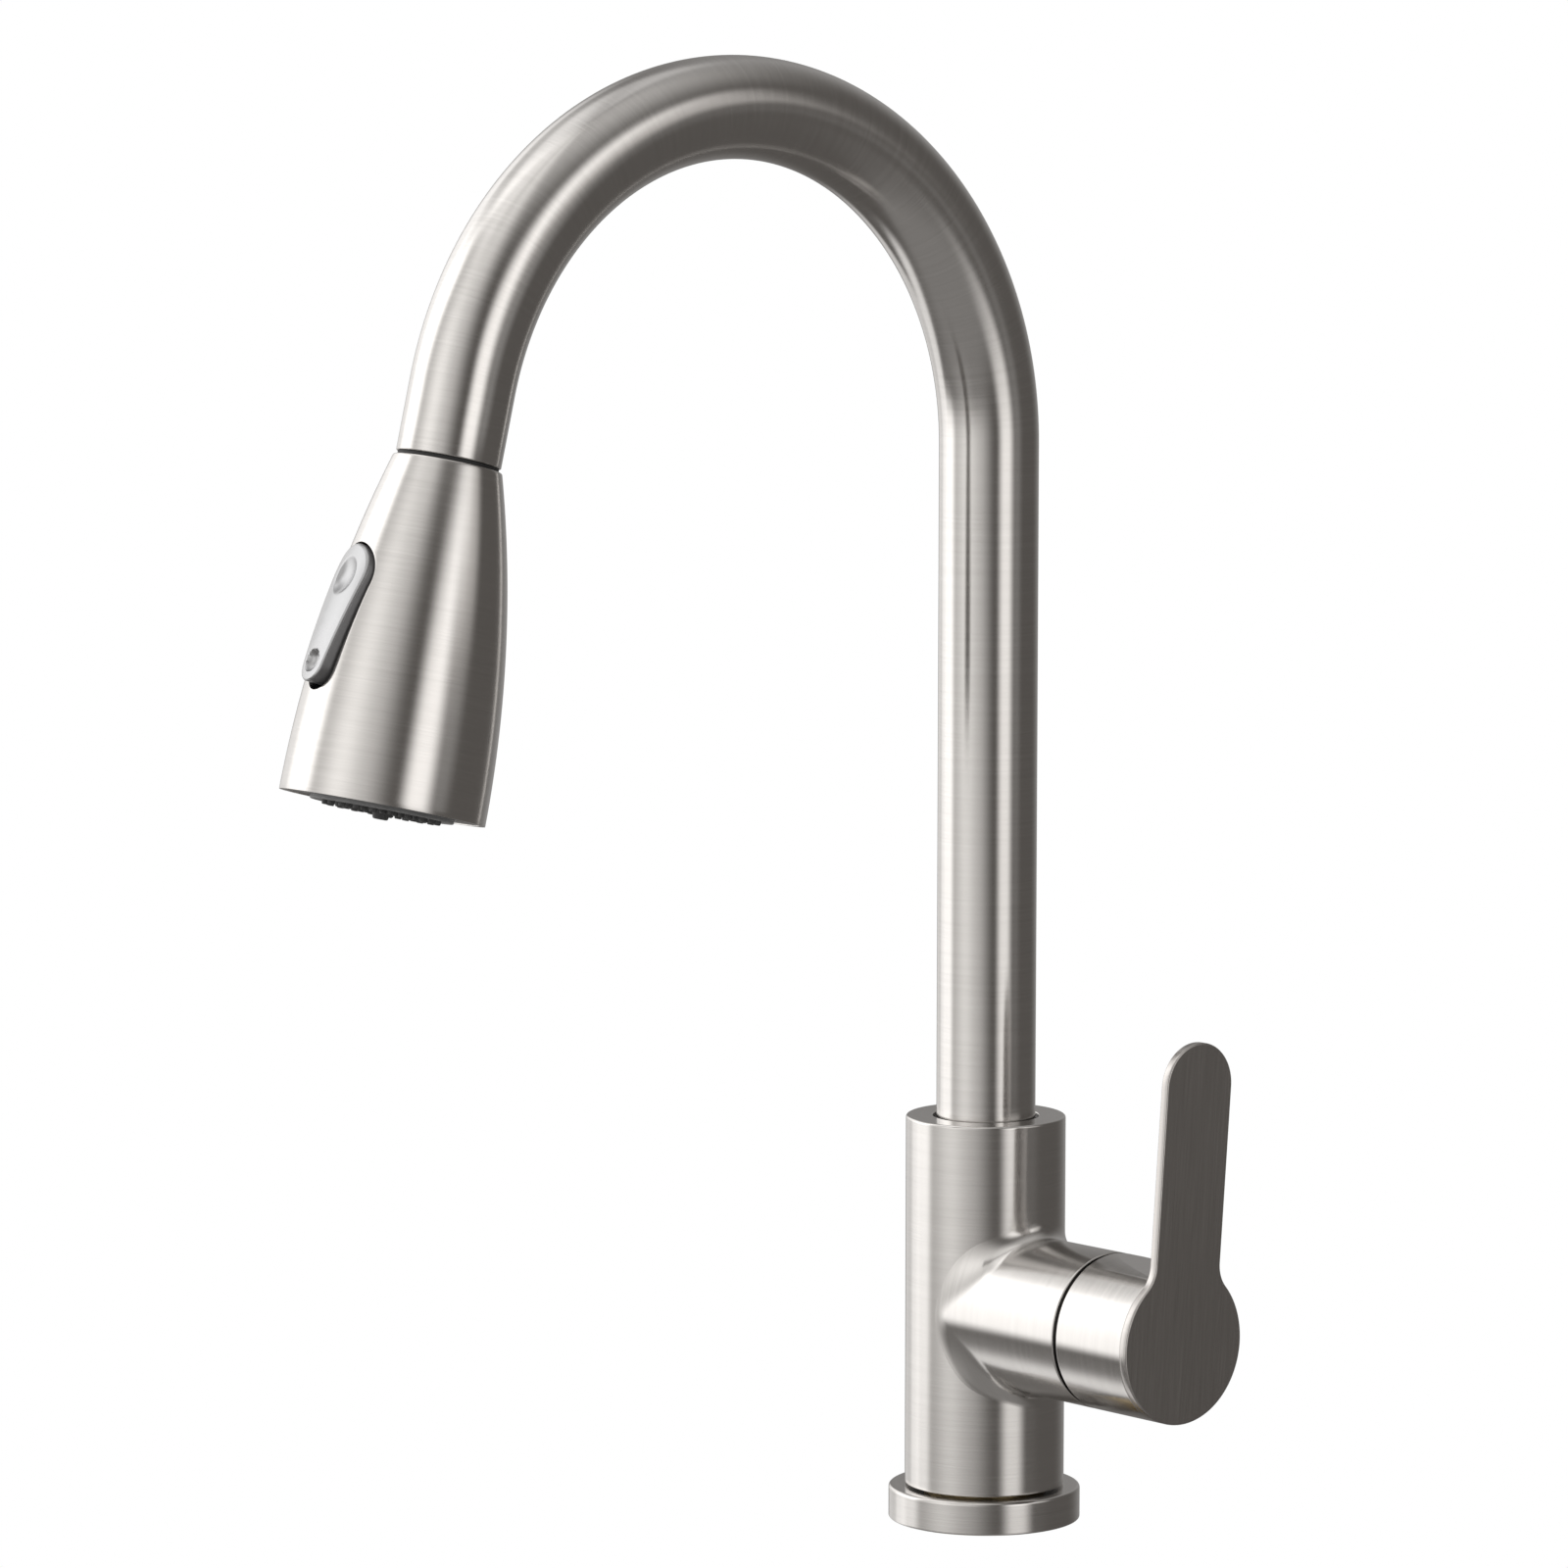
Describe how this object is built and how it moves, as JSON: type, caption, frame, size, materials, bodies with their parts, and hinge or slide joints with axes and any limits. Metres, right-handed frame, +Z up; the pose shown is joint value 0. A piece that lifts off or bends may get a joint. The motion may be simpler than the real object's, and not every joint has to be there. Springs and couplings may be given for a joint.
{
  "type": "pull-down kitchen faucet",
  "caption": "Single-lever kitchen faucet with a round column, a side lever on a boss, a swivelling gooseneck spout and a flared pull-down spray head with a rocker switch.",
  "frame": {"origin": "centre of the foot flange's underside, on the counter top, on the column's axis", "axes": "+Z up along the column, the spout reaches toward -Y, the handle boss points along +X"},
  "size_m": [0.1084, 0.2682, 0.4994],
  "materials": {
    "brushed_steel": "brushed, satin",
    "hidden_steel": "plain, satin",
    "brass": "turned, satin",
    "rubber": "moulded, matt",
    "black_plastic": "moulded, fine grain",
    "white_plastic": "moulded, matt",
    "grey_plastic": "moulded, satin",
    "button_plastic": "plated look, satin",
    "ceramic": "lapped",
    "braid": "nylon braid"
  },
  "bodies": {
    "body": {"base_gasket": "rubber", "base_flange": "brushed_steel", "body_shell": "brushed_steel", "upper_glide_ring": "black_plastic", "thrust_washer": "black_plastic", "spout_lock_screw": "hidden_steel", "mounting_shank": "brass", "counter_rubber_washer": "rubber", "counter_steel_washer": "hidden_steel", "mounting_nut": "brass", "outlet_tube": "brass", "cartridge_housing": "white_plastic", "cartridge_seals": "rubber", "fixed_disc": "ceramic", "cartridge_nut": "brass", "bonnet_ring": "brushed_steel"},
    "spout": {"spout_tube": "brushed_steel", "spout_spigot": "brass", "lower_glide_ring": "white_plastic", "tube_end_insert": "black_plastic", "spray_hose": "braid"},
    "hose_end": {"hose_ferrule": "brushed_steel"},
    "spray_head": {"hose_nut": "brass", "hose_washer": "rubber", "docking_ring": "rubber", "head_shell": "brushed_steel", "head_core": "grey_plastic", "check_valve_body": "white_plastic", "check_spring": "hidden_steel", "rocker_pocket": "black_plastic", "rocker_pin": "hidden_steel", "spray_plate": "grey_plastic", "spray_nozzles": "rubber", "stream_outlet": "grey_plastic", "face_ring": "brushed_steel"},
    "poppet": {"check_poppet": "rubber"},
    "rocker": {"rocker_button": "button_plastic"},
    "diverter": {"diverter_plunger": "white_plastic"},
    "handle_guide": {"cartridge_rotor": "grey_plastic", "stem_pin": "hidden_steel"},
    "ceramic_disc": {"moving_disc": "ceramic"},
    "handle": {"cartridge_stem": "brass", "handle_hub": "brushed_steel", "handle_lever": "brushed_steel", "grub_screw": "hidden_steel"}
  },
  "joints": [
    {"name": "spout_swivel", "type": "hinge", "parent": "body", "child": "spout", "pos_m": [0, 0, 0.1], "axis": [0, 0, 1], "continuous": true},
    {"name": "head_pull", "type": "slide", "parent": "spout", "child": "hose_end", "axis": [0, -0.2419, -0.9703], "range_m": [0, 0.18], "stiffness_N_per_m": 27, "springref_m": -0.108, "deforming": ["spray_hose"]},
    {"name": "head_turn", "type": "hinge", "parent": "hose_end", "child": "spray_head", "pos_m": [0, -0.1919, 0.30946], "axis": [0, 0.2419, 0.9703], "continuous": true},
    {"name": "rocker_tip", "type": "hinge", "parent": "spray_head", "child": "rocker", "pos_m": [-0.0026, -0.21748, 0.26792], "axis": [0.9848, -0.1685, 0.042], "range_deg": [0, 6.8]},
    {"name": "diverter_slide", "type": "slide", "parent": "spray_head", "child": "diverter", "axis": [0, 0.2419, 0.9703], "range_m": [0, 0.0014]},
    {"name": "check_valve_lift", "type": "slide", "parent": "spray_head", "child": "poppet", "axis": [0, -0.2419, -0.9703], "range_m": [0, 0.0015], "stiffness_N_per_m": 150, "springref_m": -0.002, "deforming": ["check_spring"]},
    {"name": "handle_turn", "type": "hinge", "parent": "body", "child": "handle_guide", "pos_m": [0.038, 0, 0.061], "axis": [1, 0, 0], "range_deg": [-40.6, 49.4]},
    {"name": "handle_lift", "type": "hinge", "parent": "handle_guide", "child": "handle", "pos_m": [0.038, 0, 0.061], "axis": [0, 0.9971, -0.0767], "range_deg": [0, 20]},
    {"name": "disc_slide", "type": "slide", "parent": "handle_guide", "child": "ceramic_disc", "axis": [0, 0.0767, 0.9971], "range_m": [0, 0.0037]}
  ],
  "couplings": [
    {"joint": "diverter_slide", "follows": "rocker_tip", "m_per_rad": 0.0115},
    {"joint": "disc_slide", "follows": "handle_lift", "m_per_rad": 0.0104}
  ]
}
